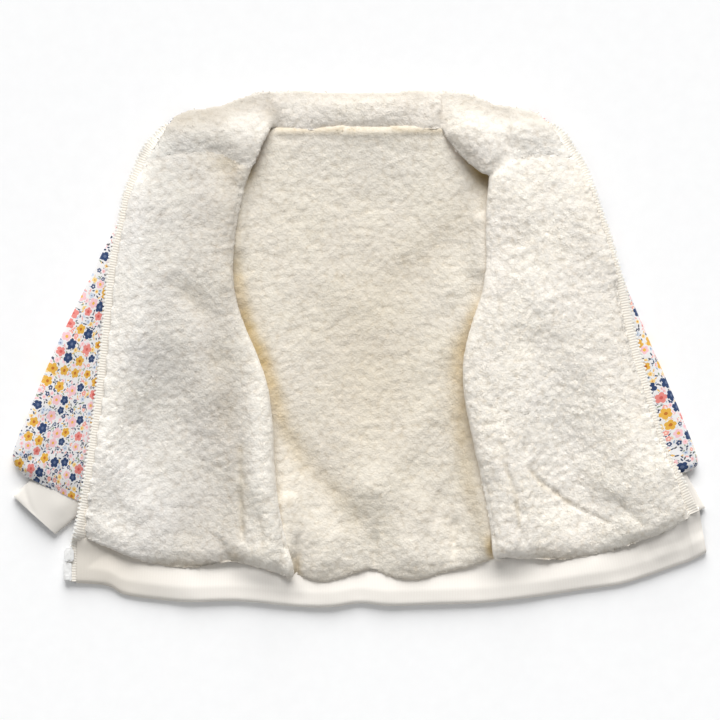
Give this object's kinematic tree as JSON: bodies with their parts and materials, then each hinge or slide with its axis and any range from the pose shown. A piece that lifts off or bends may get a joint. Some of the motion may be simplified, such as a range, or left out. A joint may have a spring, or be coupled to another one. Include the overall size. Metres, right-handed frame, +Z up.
{
  "type": "sherpa lined jacket",
  "caption": "Toddler zip jacket lying open on its back, sherpa lining up, both fronts rolled open over floral sleeves, with stand collar, rib cuffs and rib hem.",
  "frame": {"origin": "middle of the garment's outline, on the surface that it lies on", "axes": "+X across the garment to its right as it is seen, +Y from hem to collar, +Z up out of the surface"},
  "size_m": [0.5541, 0.413, 0.0241],
  "materials": {
    "floral_fleece": "brushed fleece printed with small flowers",
    "sherpa_pile": "curly sherpa pile",
    "cream_rib": "fine rib knit",
    "zip_tape": "woven tape",
    "zip_plastic": "moulded"
  },
  "bodies": {
    "root": {"back_shell": "floral_fleece", "back_lining": "sherpa_pile", "front_shell_left": "floral_fleece", "front_lining_left": "sherpa_pile", "front_shell_right": "floral_fleece", "front_lining_right": "sherpa_pile", "collar_shell": "floral_fleece", "collar_lining": "sherpa_pile", "sleeve_left": "floral_fleece", "sleeve_right": "floral_fleece", "cuff_left": "cream_rib", "cuff_right": "cream_rib", "hem_band": "cream_rib", "zip_tape_left": "zip_tape", "zip_tape_right": "zip_tape", "zip_slider": "zip_plastic", "zip_box": "zip_plastic"}
  },
  "joints": []
}
